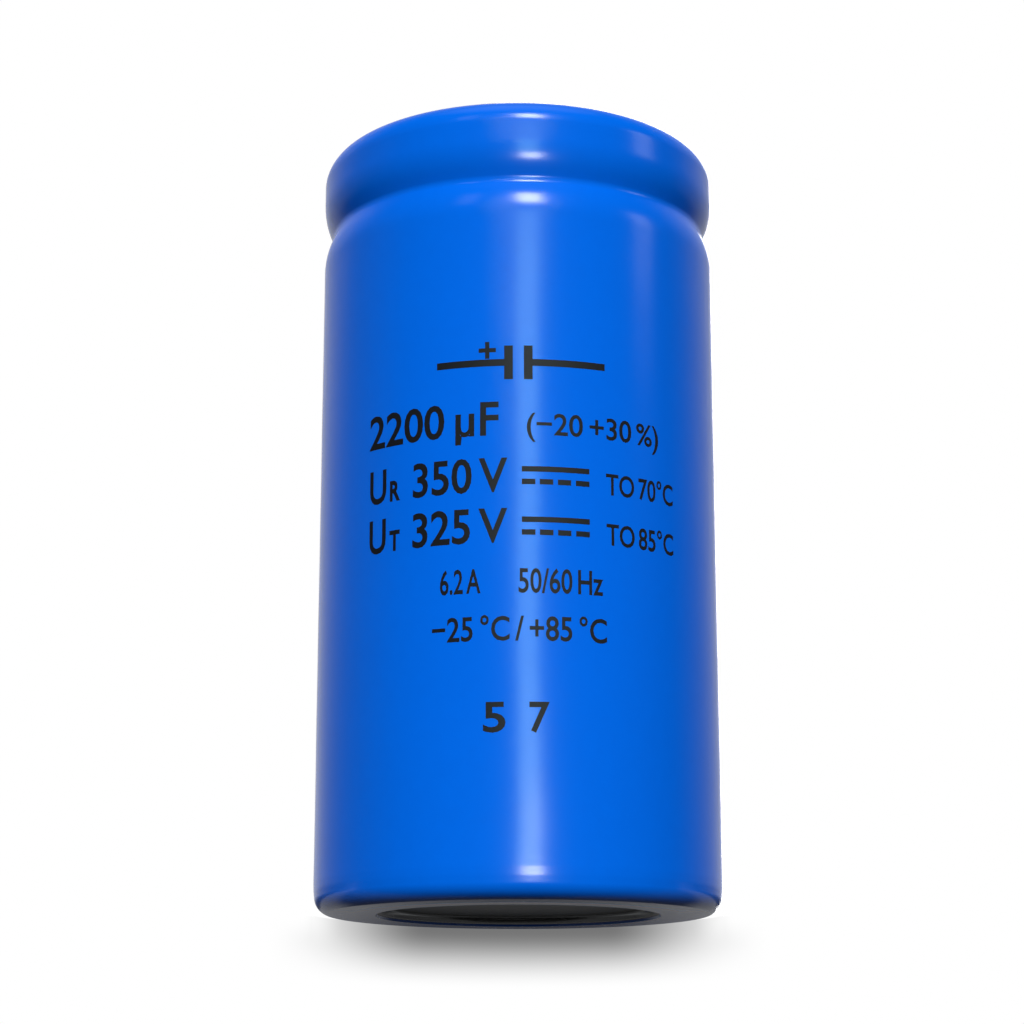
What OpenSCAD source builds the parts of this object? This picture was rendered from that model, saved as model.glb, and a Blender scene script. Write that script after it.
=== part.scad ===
// Screw-terminal aluminium electrolytic capacitor in a 76 mm can with a shrunk-on plastic sleeve.
// Origin: centre of the base, on the surface that it stands on. +Z runs up the can to the terminals.
// The positive terminal is on -X and the negative one on +X. -Y is the front.
// Every size is in millimetres. A path is a list of [radius, height] points, drawn from the base up.

/* [Can] */
// Outside diameter of the bare can below the groove
can_d = 76.2; // [70:0.2:90]
// Height of the bare can, from the ring that it stands on to the top of its curled rim
can_h = 148.6; // [110:0.5:200]
// Sheet thickness of the can
can_wall = 0.8; // [0.5:0.05:1]
// Outside radius of the corner between base and wall
base_corner_r = 3.2; // [2:0.1:4]
// Diameter at which the flat ring of the base ends and the pressed-in centre starts
recess_d = 52.4; // [30:0.2:56]
// How far the centre of the base is pressed in
recess_depth = 1.35; // [0.8:0.05:1.8]
// Outside radius of the corner from the flat ring into the recess
recess_edge_r = 1.2; // [1.1:0.05:1.5]
// Outside radius of the corner between the recess wall and its flat centre
recess_inner_r = 0.5; // [0.3:0.05:1]

/* [Neck groove] */
// Distance from the top of the can down to the middle of the groove
groove_drop = 15.8; // [15:0.1:20]
// Depth of the groove rolled into the can
groove_depth = 2.2; // [1.8:0.05:2.6]
// Slope of the groove's flanks, measured from the wall
groove_slope = 32; // [28:1:36]
// Outside radius of the shoulders on both sides of the groove
shoulder_r = 3.2; // [2.6:0.1:3.6]
// Radius at the bottom of the groove
groove_r = 2; // [1.5:0.1:2.5]
// How much the band above the groove stands out beyond the body, on the radius
band_swell = 0.15; // [0:0.05:0.4]

/* [Curled rim] */
// Outside radius of the big curl at the top of the can
curl_r = 4.9; // [4:0.1:5.5]
// Width of the flat land on top of the curl
land_w = 0.6; // [0.5:0.1:1.5]
// Outside radius of the inner half of the curl, which turns down
lip_r = 1.8; // [1.4:0.1:2.2]
// Straight length at the end of the lip, which presses on the gasket
lip_drop = 0.8; // [0.4:0.1:1.4]

/* [Sleeve] */
// Thickness of the shrunk sleeve
sleeve_t = 0.4; // [0.3:0.05:0.6]
// Distance between the sleeve's lower end and the edge of the recess
sleeve_setback = 0.2; // [0:0.05:1]
// Length of the sleeve's upper end on the flat land of the curl
sleeve_turn_in = 0.35; // [0.1:0.05:0.5]
// Height at which the sleeve bridges the bottom of the groove
bridge_gap = 0.7; // [0.3:0.05:1.2]
// Radius at the bottom of the sleeve's dip into the groove
bridge_r = 4; // [3:0.1:4.5]

/* [Cover disc] */
// Clearance on the radius between the disc and the band of the can
disc_gap = 0.5; // [0.45:0.05:0.7]
// Clearance between the disc's bevelled seat and the groove's flank
seat_gap = 0.02; // [0.01:0.01:0.05]
// Height of the disc's rim above the middle of the groove
rim_rise = 9.8; // [9:0.1:11]
// Height of the raised middle of the disc above its rim
plateau_h = 1.6; // [1:0.1:2.4]
// Diameter of the boss under each terminal
boss_d = 17; // [15:0.5:18]
// Height of the boss above the raised middle
boss_h = 2.4; // [1.5:0.1:3]
// Height of the polarity marks that are moulded on the disc
mark_h = 0.5; // [0.3:0.1:1]
// Length of a polarity mark's bars
mark_len = 6; // [4:0.5:7]
// Width of a polarity mark's bars
mark_w = 1.4; // [1:0.1:2]
// Distance of the marks in front of the terminals
mark_y = 13.5; // [12.5:0.5:15]

/* [Gasket] */
// Clearance on the radius between the gasket and what it lies between
gasket_gap = 0.2; // [0.1:0.05:0.3]
// How far the gasket shows inside the lip
gasket_show = 1.2; // [0.8:0.1:2]

/* [Terminals] */
// Distance between the two terminals
terminal_pitch = 31.7; // [28:0.1:34]
// Height of the terminals above the sleeved rim
terminal_rise = 3; // [1:0.5:6]
// Diameter of a terminal's contact pad
pad_d = 13; // [12:0.5:14]
// Diameter of the shank that goes through the disc
shank_d = 8; // [7:0.5:8.5]
// Diameter of the tapped hole, before its thread: 4.2 for M5
tap_d = 4.2; // [3.3:0.1:5]
// Depth of the tapped hole
tap_depth = 11; // [8:0.5:12]
// Diameter of the riveted end of the shank
rivet_d = 11; // [10:0.5:12]
// Height of the riveted end
rivet_h = 1.6; // [1:0.1:2]
// Clearance on the radius round the shank
shank_gap = 0.1; // [0.05:0.05:0.2]
// Size of the chamfers on the terminal
chamfer = 0.5; // [0.3:0.1:0.8]

/* [Terminal seals and washers] */
// Thickness of the rubber seal under a pad
seal_t = 0.8; // [0.6:0.1:1.2]
// Depth of the pocket in the boss that holds the seal
seal_pocket = 0.4; // [0.2:0.1:0.5]
// Diameter of the washer under the disc
washer_d = 14; // [13:0.5:15]
// Thickness of that washer
washer_t = 1; // [0.6:0.1:1.5]

/* [Vent plug] */
// Diameter of the vent hole in the disc
vent_d = 5; // [4:0.5:6]
// Diameter of the plug's flange
vent_flange_d = 8.4; // [7.5:0.1:10]
// Height of the plug's flange
vent_flange_h = 1.4; // [1:0.1:2]
// Distance of the vent behind the middle of the disc
vent_y = 17; // [15:0.5:20]

/* [Lead tabs] */
// Width of a lead tab
tab_w = 8; // [6:0.5:9]
// Thickness of a lead tab
tab_t = 0.3; // [0.2:0.05:0.4]
// Distance from a terminal's axis to the upright part of its tabs
tab_reach = 9; // [8.6:0.1:10]
// Inside radius of the bend in a tab
tab_bend_r = 1; // [0.5:0.1:1.2]
// Diameter of the eye round the shank
eye_d = 12; // [11:0.5:13]

/* [Winding] */
// Clearance on the radius between the winding and the can
winding_gap = 2.3; // [1.5:0.1:4]
// Diameter of the hole that the winding mandrel leaves
core_d = 7; // [5:0.5:9]
// Free height between the tab insulator and the disc
headroom = 9.6; // [8:0.2:16]
// Distance between the turns that show at the ends
turn_pitch = 2.6; // [2:0.1:4]
// Width of the gap between two paper edges
turn_gap = 1; // [0.6:0.1:1.5]
// How far the paper edges stand out beyond the foils
paper_edge = 0.8; // [0.4:0.1:1.5]
// Thickness of the closing tapes
tape_t = 0.2; // [0.1:0.05:0.4]
// Width of the closing tapes
tape_w = 19; // [12:1:25]
// Distance from each end of the winding to its closing tape
tape_inset = 14; // [8:1:20]

/* [Insulators] */
// Thickness of the slotted insulator above the winding
tab_insulator_t = 1; // [0.5:0.1:2]
// Clearance round a tab in its slot
slot_gap = 0.6; // [0.3:0.1:1]
// Thickness of the insulator under the winding
base_insulator_t = 1.2; // [0.8:0.1:2]
// Length of the peg that centres the winding
peg_h = 8; // [4:0.5:14]
// Clearance on the radius between the peg and the winding
peg_gap = 0.2; // [0.1:0.05:0.4]

/* [Hidden] */
$fn = 96;
arc_step = 7.5;
tiny = 0.0001;

// Radii of the bare can
body_r = can_d / 2;
band_r = body_r + band_swell;
band_bore_r = band_r - can_wall;

// Heights of the can
base_z = sleeve_t;
top_z = base_z + can_h;
rim_z = top_z + sleeve_t;
groove_z = top_z - groove_drop;
lip_z = top_z - lip_r - lip_drop;
floor_z = base_z + recess_depth + can_wall;

// Angle of the recess wall, from two tangent arcs that share its depth
recess_turn = acos(1 - recess_depth / (recess_edge_r + recess_inner_r));

// Half widths of the groove in the can, below and above its middle
groove_below = half_width(groove_depth, shoulder_r + groove_r, groove_slope);
groove_above = half_width(groove_depth + band_swell, shoulder_r + groove_r, groove_slope);

// The sleeve dips into the groove between the same two shoulders, but less deep
dip = groove_depth - bridge_gap;
dip_slope_below = dip_slope(dip, groove_below);
dip_slope_above = dip_slope(dip + band_swell, groove_above);

// The upper flank inside the can, on which the cover disc sits
flank_normal = (can_wall + seat_gap) * [-cos(groove_slope), sin(groove_slope)];
flank_low = [body_r - groove_depth + groove_r * (1 - cos(groove_slope)), groove_z + groove_r * sin(groove_slope)]
    + flank_normal;
flank_high = [band_r - shoulder_r * (1 - cos(groove_slope)), groove_z + groove_above - shoulder_r * sin(groove_slope)]
    + flank_normal;
disc_r = band_bore_r - disc_gap;
seat_foot = 0.1;
seat_low = flank_low + seat_foot * (flank_high - flank_low);
seat_high = flank_low + (disc_r - flank_low[0]) / (flank_high[0] - flank_low[0]) * (flank_high - flank_low);

// Heights and radii of the cover disc
disc_z = seat_low[1];
disc_rim_z = groove_z + rim_rise;
plateau_z = disc_rim_z + plateau_h;
boss_z = plateau_z + boss_h;
lip_inner_r = band_r - curl_r - land_w - lip_r;
gasket_in_r = lip_inner_r - gasket_show;
plateau_r = gasket_in_r - gasket_gap;

// Heights of a terminal and of what it holds together
pad_top_z = rim_z + terminal_rise;
pad_z = boss_z - seal_pocket + seal_t;
washer_top_z = disc_z - 2 * tab_t;
washer_z = washer_top_z - washer_t;
rivet_z = washer_z - rivet_h;
hole_r = shank_d / 2 + shank_gap;
drill_angle = 118;

// Heights and radii of the winding and its insulators
winding_r = body_r - can_wall - winding_gap;
core_r = core_d / 2;
winding_z = floor_z + base_insulator_t;
winding_top_z = disc_z - headroom - tab_insulator_t;
turns = floor((winding_r - core_r) / turn_pitch);

// Distance from the middle of a groove to the end of its shoulder, for two tangent arcs and a flank
function half_width(depth, radii, slope) =
    radii * sin(slope) + (depth - radii * (1 - cos(slope))) / tan(slope);

// Slope of the sleeve's flank, so that it starts at the can's shoulder and reaches its own depth
function dip_slope(depth, width) =
    let (radii = shoulder_r + bridge_r, side = radii - depth)
    atan2(width, side) - acos(radii / norm([side, width]));

// Points along an arc, an even step apart from its start, and its end
function arc(centre, r, from, to) =
    let (steps = ceil(abs(to - from) / arc_step - tiny), turn = to < from ? -arc_step : arc_step)
    [for (i = [0:steps]) let (a = i < steps ? from + i * turn : to) centre + r * [cos(a), sin(a)]];

// A path without repeated points
function clean(path) =
    [for (i = [0:len(path) - 1]) if (i == 0 || norm(path[i] - path[max(i - 1, 0)]) > tiny) path[i]];

// Unit vector to the left of a direction
function left_of(v) = [-v[1], v[0]] / norm(v);

// The path moved sideways by d, to the left of its direction, with mitred corners
function beside(path, d) =
    let (last = len(path) - 1)
    [for (i = [0:last])
        let (a = left_of(path[max(i, 1)] - path[max(i, 1) - 1]),
            b = left_of(path[min(i, last - 1) + 1] - path[min(i, last - 1)]))
        path[i] + d * (a + b) / (1 + a * b)];

function reversed(path) = [for (i = [len(path) - 1:-1:0]) path[i]];

// The flat centre of the base and the wall of its recess
function recess_path() =
    let (inner = [recess_d / 2 - (recess_edge_r + recess_inner_r) * sin(recess_turn),
            base_z + recess_depth - recess_inner_r],
        edge = [recess_d / 2, base_z + recess_edge_r])
    concat([[0, base_z + recess_depth]],
        arc(inner, recess_inner_r, 90, 90 - recess_turn),
        arc(edge, recess_edge_r, 270 - recess_turn, 270));

// The corner between base and wall
function corner_path() = arc([body_r - base_corner_r, base_z + base_corner_r], base_corner_r, -90, 0);

// A groove between the body and the band above it
function groove_path(depth, bottom_r, slope_below, slope_above) =
    concat(arc([body_r - shoulder_r, groove_z - groove_below], shoulder_r, 0, slope_below),
        arc([body_r - depth + bottom_r, groove_z], bottom_r, 180 + slope_below, 180 - slope_above),
        reversed(arc([band_r - shoulder_r, groove_z + groove_above], shoulder_r, 0, -slope_above)));

// The big outer curl of the rim
function curl_path() = arc([band_r - curl_r, top_z - curl_r], curl_r, 0, 90);

// The inner half of the curl, down to the gasket
function lip_path() =
    concat(arc([band_r - curl_r - land_w, top_z - lip_r], lip_r, 90, 180),
        [[lip_inner_r, lip_z]]);

function can_path() =
    clean(concat(recess_path(), corner_path(), groove_path(groove_depth, groove_r, groove_slope, groove_slope),
        curl_path(), lip_path()));

function sleeve_path() =
    clean(concat([[recess_d / 2 + sleeve_setback, base_z]], corner_path(),
        groove_path(dip, bridge_r, dip_slope_below, dip_slope_above),
        curl_path(), [[band_r - curl_r - sleeve_turn_in, top_z]]));

// A sheet of even thickness along a path; a positive thickness lies to the left of it
module sheet(path, thickness) {
    polygon(concat(path, reversed(beside(path, thickness))));
}

// A ring with a square section
module ring(outer_r, inner_r, z, h) {
    translate([0, 0, z])
        difference() {
            cylinder(r = outer_r, h = h);
            translate([0, 0, -1]) cylinder(r = inner_r, h = h + 2);
        }
}

// Places a child at the positive terminal for side -1 and at the negative one for side 1
module at_terminal(side) {
    translate([side * terminal_pitch / 2, 0, 0]) children();
}

// The shrunk plastic sleeve, turned in under the base and over the rim
module sleeve() {
    color("#0a63e0") rotate_extrude() sheet(sleeve_path(), -sleeve_t);
}

// The deep-drawn can, with its neck rolled in and its rim curled over the gasket
module can() {
    color("#b9bcc0") rotate_extrude() sheet(can_path(), can_wall);
}

// Outline of the disc: its bevelled seat, its rim and its raised middle
module disc_outline() {
    polygon([[0, disc_z], seat_low, seat_high, [disc_r, disc_rim_z - chamfer], [disc_r - chamfer, disc_rim_z],
        [plateau_r, disc_rim_z], [plateau_r, plateau_z - chamfer], [plateau_r - chamfer, plateau_z],
        [0, plateau_z]]);
}

// A boss with a chamfered edge and a pocket for the terminal's seal
module boss_outline() {
    polygon([[0, plateau_z - plateau_h], [boss_d / 2, plateau_z - plateau_h], [boss_d / 2, boss_z - chamfer],
        [boss_d / 2 - chamfer, boss_z], [pad_d / 2 + shank_gap, boss_z],
        [pad_d / 2 + shank_gap, boss_z - seal_pocket], [0, boss_z - seal_pocket]]);
}

// One bar of a polarity mark
module mark_bar(length, width) {
    translate([-length / 2, -width / 2, plateau_z - mark_h]) cube([length, width, 2 * mark_h]);
}

// The moulded disc that closes the can and carries the terminals
module cover_disc() {
    color("#1d1b1a")
        difference() {
            union() {
                rotate_extrude() disc_outline();
                for (side = [-1, 1]) at_terminal(side) rotate_extrude() boss_outline();
                for (side = [-1, 1]) at_terminal(side) translate([0, -mark_y, 0]) mark_bar(mark_len, mark_w);
                at_terminal(-1) translate([0, -mark_y, 0]) mark_bar(mark_w, mark_len);
            }
            for (side = [-1, 1]) at_terminal(side)
                translate([0, 0, disc_z - 1]) cylinder(r = hole_r, h = pad_z - disc_z + 2);
            translate([0, vent_y, disc_z - 1]) cylinder(d = vent_d, h = plateau_z - disc_z + 2);
        }
}

// The rubber ring between the disc's rim and the curled lip, rounded where the curl bends over it
module rim_gasket() {
    r = curl_r - can_wall - gasket_gap;
    centre = [band_r - curl_r, top_z - curl_r];
    color("#232323")
        rotate_extrude()
            polygon(concat([[gasket_in_r, disc_rim_z], [centre[0] + r, disc_rim_z]],
                arc(centre, r, 0, asin((lip_z - centre[1]) / r)), [[gasket_in_r, lip_z]]));
}

// The rubber plug that blows out if the pressure in the can gets too high
module vent_plug() {
    barb = 0.5;
    color("#3a3a3c")
        translate([0, vent_y, 0])
            rotate_extrude()
                polygon([[0, disc_z - 2], [vent_d / 2 - barb, disc_z - 2], [vent_d / 2 + barb, disc_z - barb],
                    [vent_d / 2 + barb, disc_z], [vent_d / 2, disc_z], [vent_d / 2, plateau_z],
                    [vent_flange_d / 2, plateau_z], [vent_flange_d / 2, plateau_z + vent_flange_h - chamfer],
                    [vent_flange_d / 2 - chamfer, plateau_z + vent_flange_h], [0, plateau_z + vent_flange_h]]);
}

// A turned terminal: contact pad, shank and riveted end, with a blind tapped hole
module terminal() {
    color("#d4d6d8")
        difference() {
            rotate_extrude()
                polygon([[0, rivet_z], [rivet_d / 2 - chamfer, rivet_z], [rivet_d / 2, rivet_z + chamfer],
                    [rivet_d / 2, washer_z], [shank_d / 2, washer_z], [shank_d / 2, pad_z],
                    [pad_d / 2 - chamfer, pad_z], [pad_d / 2, pad_z + chamfer], [pad_d / 2, pad_top_z - chamfer],
                    [pad_d / 2 - chamfer, pad_top_z], [0, pad_top_z]]);
            translate([0, 0, pad_top_z - tap_depth]) cylinder(d = tap_d, h = tap_depth + 1);
            translate([0, 0, pad_top_z - tap_depth - tap_d / 2 / tan(drill_angle / 2)])
                cylinder(d1 = 0, d2 = tap_d, h = tap_d / 2 / tan(drill_angle / 2) + tiny);
        }
}

module terminal_plus() at_terminal(-1) terminal();

module terminal_minus() at_terminal(1) terminal();

// The rubber washer that seals a terminal on its boss
module terminal_seal(side) {
    color("#2b2b2b") at_terminal(side) ring(pad_d / 2, hole_r, boss_z - seal_pocket, seal_t);
}

// The aluminium washer that spreads the load of the riveted end
module rivet_washer(side) {
    color("#c4c7ca") at_terminal(side) ring(washer_d / 2, hole_r, washer_z, washer_t);
}

// A lead tab: up from the winding, round a bend and flat to an eye on the shank
// side picks the terminal, away is 1 for the tab further from the middle, level is 0 for the upper eye
module lead_tab(side, away, level) {
    eye_z = disc_z - (level + 1) * tab_t;
    bend = tab_bend_r + tab_t;
    path = clean(concat([[tab_reach, winding_top_z]],
        arc([tab_reach - bend, eye_z + tab_t - bend], bend, 0, 90), [[0, eye_z + tab_t]]));
    color("#cfd2d4")
        at_terminal(side)
            mirror([side * away < 0 ? 1 : 0, 0, 0])
                difference() {
                    union() {
                        rotate([90, 0, 0]) linear_extrude(tab_w, center = true) sheet(path, tab_t);
                        translate([0, 0, eye_z]) cylinder(d = eye_d, h = tab_t);
                    }
                    translate([0, 0, eye_z - 1]) cylinder(r = hole_r, h = tab_t + 2);
                }
}

// The slotted paper disc above the winding
module tab_insulator() {
    color("#c9b48c")
        difference() {
            translate([0, 0, winding_top_z]) cylinder(r = winding_r, h = tab_insulator_t);
            for (side = [-1, 1], away = [-1, 1])
                translate([side * terminal_pitch / 2 + away * (tab_reach - tab_t / 2), 0, winding_top_z])
                    cube([tab_t + 2 * slot_gap, tab_w + 2 * slot_gap, 4 * tab_insulator_t], center = true);
        }
}

// The paper edges at one end of the winding, from the core outwards
function turn_edges(face_z, foil_z) =
    [for (i = [0:turns - 1]) let (r = core_r + i * turn_pitch)
        each [[r, face_z], [r + turn_pitch - turn_gap, face_z], [r + turn_pitch - turn_gap, foil_z],
            [r + turn_pitch, foil_z]]];

// The rolled foils and papers: one roll, with its turns showing at both ends
module winding() {
    last_r = core_r + turns * turn_pitch;
    color("#d8c9a6")
        rotate_extrude()
            polygon(clean(concat(turn_edges(winding_z, winding_z + paper_edge),
                [[last_r, winding_z], [winding_r, winding_z], [winding_r, winding_top_z], [last_r, winding_top_z]],
                reversed(turn_edges(winding_top_z, winding_top_z - paper_edge)))));
}

// A tape round the winding, with its lower edge at height z
module closing_tape(z) {
    color("#e2c77a") ring(winding_r + tape_t, winding_r, z, tape_w);
}

// The moulded disc under the winding, with the peg that centres it
module base_insulator() {
    color("#e9e4d8")
        rotate_extrude()
            polygon([[0, floor_z], [winding_r, floor_z], [winding_r, winding_z], [core_r - peg_gap, winding_z],
                [core_r - peg_gap, winding_z + peg_h - chamfer], [core_r - peg_gap - chamfer, winding_z + peg_h],
                [0, winding_z + peg_h]]);
}

sleeve();
can();
cover_disc();
rim_gasket();
vent_plug();
terminal_plus();
terminal_minus();
terminal_seal(-1);  // terminal_seal_plus
terminal_seal(1);  // terminal_seal_minus
rivet_washer(-1);  // rivet_washer_plus
rivet_washer(1);  // rivet_washer_minus
lead_tab(-1, -1, 1);  // anode_tab_inner
lead_tab(-1, 1, 0);  // anode_tab_outer
lead_tab(1, -1, 1);  // cathode_tab_inner
lead_tab(1, 1, 0);  // cathode_tab_outer
tab_insulator();
winding();
closing_tape(winding_top_z - tape_inset - tape_w);  // closing_tape_upper
closing_tape(winding_z + tape_inset);  // closing_tape_lower
base_insulator();
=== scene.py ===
# %% [markdown]
# Screw-terminal electrolytic capacitor: the looks round the CAD part.
#
# The CAD model gives the sizes: a 76 mm drawn aluminium can in a shrunk blue sleeve, closed by a moulded
# disc that carries two threaded terminals. This script gives every surface its real finish. It works in
# metres in the CAD's own frame: z runs up the can from its base at 0, and the printed front faces -y.

# %%
# Load the frame and keep its box

import math

import bmesh
import bpy
import numpy as np
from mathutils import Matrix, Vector


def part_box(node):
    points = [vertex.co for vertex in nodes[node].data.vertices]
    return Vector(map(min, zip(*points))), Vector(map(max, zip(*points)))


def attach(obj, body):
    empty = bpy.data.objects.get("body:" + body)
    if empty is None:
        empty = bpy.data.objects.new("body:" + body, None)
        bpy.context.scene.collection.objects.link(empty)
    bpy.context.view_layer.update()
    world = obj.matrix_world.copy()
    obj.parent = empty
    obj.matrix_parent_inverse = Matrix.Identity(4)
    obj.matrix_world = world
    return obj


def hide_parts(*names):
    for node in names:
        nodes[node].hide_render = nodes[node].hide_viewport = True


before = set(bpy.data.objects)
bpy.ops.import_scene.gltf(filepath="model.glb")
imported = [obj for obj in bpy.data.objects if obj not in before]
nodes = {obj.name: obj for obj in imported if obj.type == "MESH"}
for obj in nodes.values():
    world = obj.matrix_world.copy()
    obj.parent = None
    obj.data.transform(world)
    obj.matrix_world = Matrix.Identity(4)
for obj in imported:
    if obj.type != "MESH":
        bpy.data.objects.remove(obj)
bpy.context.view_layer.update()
MM = 0.001
print("CAD nodes:", len(nodes))

# %% [markdown]
# The sizes below are those of the CAD source. A smooth surface of revolution needs them again, because the
# CAD file holds coarse facets of each arc.

# %%
# Sizes in millimetres, as in the CAD source

CAN_R, CAN_H, WALL = 38.1, 148.6, 0.8
CORNER_R = 3.2
RECESS_R, RECESS_DEPTH, RECESS_EDGE_R, RECESS_INNER_R = 26.2, 1.35, 1.2, 0.5
GROOVE_DROP, GROOVE_DEPTH, GROOVE_SLOPE, SHOULDER_R, GROOVE_R = 15.8, 2.2, 32.0, 3.2, 2.0
BAND_SWELL, CURL_R, LAND_W, LIP_R, LIP_DROP = 0.15, 4.9, 0.6, 1.8, 0.8
SLEEVE_T, SLEEVE_SETBACK, SLEEVE_TURN_IN, BRIDGE_GAP, BRIDGE_R = 0.4, 0.2, 0.35, 0.7, 4.0
TERMINAL_X = 15.85

# The film's outside is softer: its shoulders, the bottom of its dip, and its corner as arcs, each
# (radius, first angle, last angle) from the wall down
SOFT_SHOULDER_R, SOFT_BOTTOM_R = 13.0, 2.4
SOFT_CORNER = [(20.0, 0, -8), (2.9, -8, -68), (0.8, -68, -85), (49.6, -85, -90)]

BAND_R = CAN_R + BAND_SWELL
BASE_Z = SLEEVE_T
TOP_Z = BASE_Z + CAN_H
GROOVE_Z = TOP_Z - GROOVE_DROP
LIP_Z = TOP_Z - LIP_R - LIP_DROP
LIP_INNER_R = BAND_R - CURL_R - LAND_W - LIP_R
SLEEVE_R = CAN_R + SLEEVE_T
DISC_RIM_Z = GROOVE_Z + 9.8
PLATEAU_Z = DISC_RIM_Z + 1.6
BOSS_Z = PLATEAU_Z + 2.4

# %% [markdown]
# A profile is a chain of arcs, each tangent to the next. Moving such a chain sideways keeps its centres and
# only changes its radii, so one chain gives both faces of a drawn sheet: the outside of the can, its
# inside, and the outside of the sleeve that lies on it. Free curves could draw the same shape, but arcs
# have sizes that can be measured, and the CAD source is drawn with them too.


# %%
# Profiles from chains of arcs

def trace(chain, shift=0.0, step=3.0):
    """Points of a chain of arcs, moved outwards by shift.

    An arc is (centre radius, centre height, radius, first angle, last angle, side), angles in degrees. side
    is 1 where the outside lies away from the centre and -1 where it lies towards it. A point at angle a is
    the centre plus (radius + side * shift) * (cos a, sin a). An arc of radius 0 is a corner whose angle
    gives its normal."""
    parts = []
    for centre_r, centre_h, radius, first, last, side in chain:
        count = max(2, int(abs(last - first) / step) + 1) if first != last else 1
        a = np.radians(np.linspace(first, last, count))
        reach = radius + side * shift
        parts.append(np.stack([centre_r + reach * np.cos(a), centre_h + reach * np.sin(a)], axis=1))
    points = np.concatenate(parts)
    far = np.hypot(*np.diff(points, axis=0).T) > 1e-6
    return points[np.concatenate([[True], far])]


def densify(points, step):
    """The same path with extra points, so that none of its steps is longer than step.

    s is the length along the path, and radius and height are read off at every old s and at every multiple of
    step."""
    s = np.concatenate([[0], np.cumsum(np.hypot(*np.diff(points, axis=0).T))])
    extra = np.arange(0, s[-1], step)
    extra = extra[np.abs(extra[:, None] - s[None, :]).min(axis=1) > 0.2 * step]
    dense = np.sort(np.concatenate([s, extra]))
    return np.stack([np.interp(dense, s, points[:, 0]), np.interp(dense, s, points[:, 1])], axis=1)


def half_width(depth):
    """Height from the middle of a groove to the end of its shoulder.

    Both arcs rise by radius * sin(slope). They take up radius * (1 - cos(slope)) of the depth, and the
    flank takes the rest at that slope."""
    slope, radii = math.radians(GROOVE_SLOPE), SHOULDER_R + GROOVE_R
    return radii * math.sin(slope) + (depth - radii * (1 - math.cos(slope))) / math.tan(slope)


def dip_slope(depth, width):
    """Slope in degrees of a flank between the same two shoulders, less deep.

    The two centres are width apart in height and (radii - depth) across. The flank's angle is that line's
    angle less the angle whose cosine is radii over their distance."""
    radii = SHOULDER_R + BRIDGE_R
    side = radii - depth
    return math.degrees(math.atan2(width, side) - math.acos(radii / math.hypot(side, width)))


def groove(depth, bottom_r, slope_below, slope_above, shoulder_r=SHOULDER_R):
    """The two shoulders of the neck groove and the arc at its bottom.

    Wider shoulders leave the flanks where they are: their centres move off by the difference of the radii
    times tan(slope / 2)."""
    wider = shoulder_r - SHOULDER_R
    below = BELOW + wider * math.tan(math.radians(slope_below / 2))
    above = ABOVE + wider * math.tan(math.radians(slope_above / 2))
    return [(CAN_R - shoulder_r, GROOVE_Z - below, shoulder_r, 0, slope_below, 1),
            (CAN_R - depth + bottom_r, GROOVE_Z, bottom_r, 180 + slope_below, 180 - slope_above, -1),
            (BAND_R - shoulder_r, GROOVE_Z + above, shoulder_r, -slope_above, 0, 1)]


def drawn_corner(turns):
    """The film's corner as a chain of arcs, from the wall down: each is (radius, first angle, last angle).

    The next centre lies on the line through the last one at their shared angle, moved out by the difference
    of the radii. The whole is then lifted so that its last arc ends at the base's height."""
    r, h, last, chain = CAN_R, 0.0, 0.0, []
    for radius, first, end in turns:
        a = math.radians(first)
        r, h = r + (last - radius) * math.cos(a), h + (last - radius) * math.sin(a)
        chain.append((r, h, radius, end, first))
        last = radius
    lift = BASE_Z - (h - last)
    return [(r, h + lift, radius, end, first, 1) for r, h, radius, end, first in reversed(chain)]


BELOW, ABOVE = half_width(GROOVE_DEPTH), half_width(GROOVE_DEPTH + BAND_SWELL)
DIP = GROOVE_DEPTH - BRIDGE_GAP
RECESS_TURN = math.degrees(math.acos(1 - RECESS_DEPTH / (RECESS_EDGE_R + RECESS_INNER_R)))
CORNER = (CAN_R - CORNER_R, BASE_Z + CORNER_R, CORNER_R, -90, 0, 1)
CURL = (BAND_R - CURL_R, TOP_Z - CURL_R, CURL_R, 0, 90, 1)

can_chain = [
    (0, BASE_Z + RECESS_DEPTH, 0, -90, -90, 1),
    (RECESS_R - (RECESS_EDGE_R + RECESS_INNER_R) * math.sin(math.radians(RECESS_TURN)),
     BASE_Z + RECESS_DEPTH - RECESS_INNER_R, RECESS_INNER_R, 90, 90 - RECESS_TURN, -1),
    (RECESS_R, BASE_Z + RECESS_EDGE_R, RECESS_EDGE_R, 270 - RECESS_TURN, 270, 1),
    CORNER, *groove(GROOVE_DEPTH, GROOVE_R, GROOVE_SLOPE, GROOVE_SLOPE), CURL,
    (BAND_R - CURL_R - LAND_W, TOP_Z - LIP_R, LIP_R, 90, 180, 1),
    (LIP_INNER_R, LIP_Z, 0, 180, 180, 1)]
SLOPES = dip_slope(DIP, BELOW), dip_slope(DIP + BAND_SWELL, ABOVE)
SOFT_DIP = DIP + (BRIDGE_R - SOFT_BOTTOM_R) * (1 / math.cos(math.radians(SLOPES[0])) - 1)


def sleeve_shape(corner, dip, bottom_r, shoulder_r):
    """Chain of the sleeve from its cut edge under the base to its cut edge on the rim."""
    return [(RECESS_R + SLEEVE_SETBACK, BASE_Z, 0, -90, -90, 1), *corner,
            *groove(dip, bottom_r, *SLOPES, shoulder_r), CURL,
            (BAND_R - CURL_R - SLEEVE_TURN_IN, TOP_Z, 0, 90, 90, 1)]


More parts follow.
